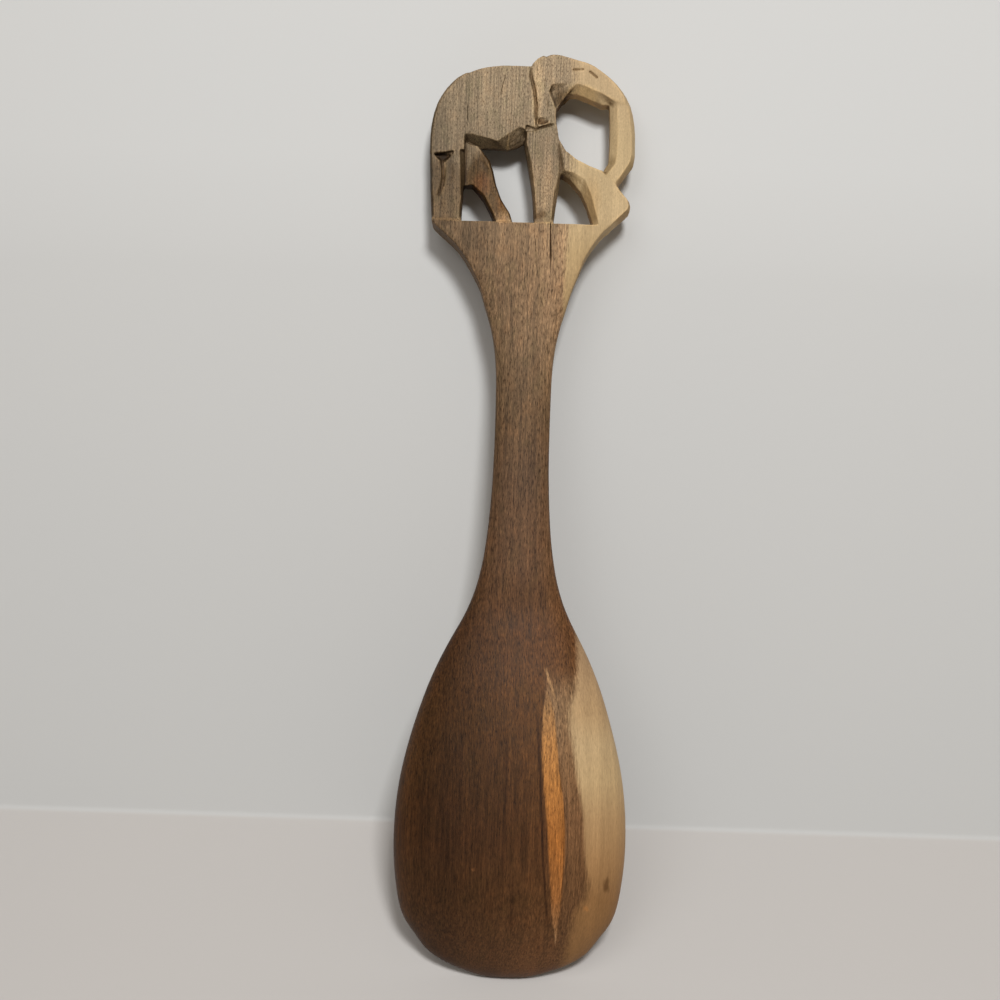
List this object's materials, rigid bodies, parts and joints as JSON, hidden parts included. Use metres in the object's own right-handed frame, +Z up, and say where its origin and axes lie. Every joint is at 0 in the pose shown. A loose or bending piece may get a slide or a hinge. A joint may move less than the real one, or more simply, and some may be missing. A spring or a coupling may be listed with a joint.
{
  "type": "wooden serving spoon",
  "caption": "Flat serving spoon carved from one board, with a hollowed oval bowl, a slim neck and a flared shoulder under an openwork elephant finial.",
  "frame": {"origin": "middle of the spoon's footprint, on the surface that it lies on with its hollow down", "axes": "+Y from the bowl's tip to the elephant, +Z up through the back of the bowl, +X the way that the elephant walks"},
  "size_m": [0.0756, 0.305, 0.0169],
  "materials": {
    "dark_heartwood": "knife-smoothed and oiled, half matt, fine dark streaks along the length",
    "brown_heartwood": "knife-cut and unpolished, short dark pore dashes along the length",
    "pale_sapwood": "knife-cut and unpolished, pale straight grain"
  },
  "bodies": {
    "root": {"bowl": "dark_heartwood", "neck": "brown_heartwood", "shoulder": "brown_heartwood", "hindquarter": "brown_heartwood", "tail": "brown_heartwood", "hind_leg": "brown_heartwood", "stepping_hind_leg": "brown_heartwood", "flank": "brown_heartwood", "ear": "brown_heartwood", "head": "pale_sapwood", "trunk": "pale_sapwood", "foreleg": "brown_heartwood", "stepping_foreleg": "pale_sapwood"}
  },
  "joints": []
}
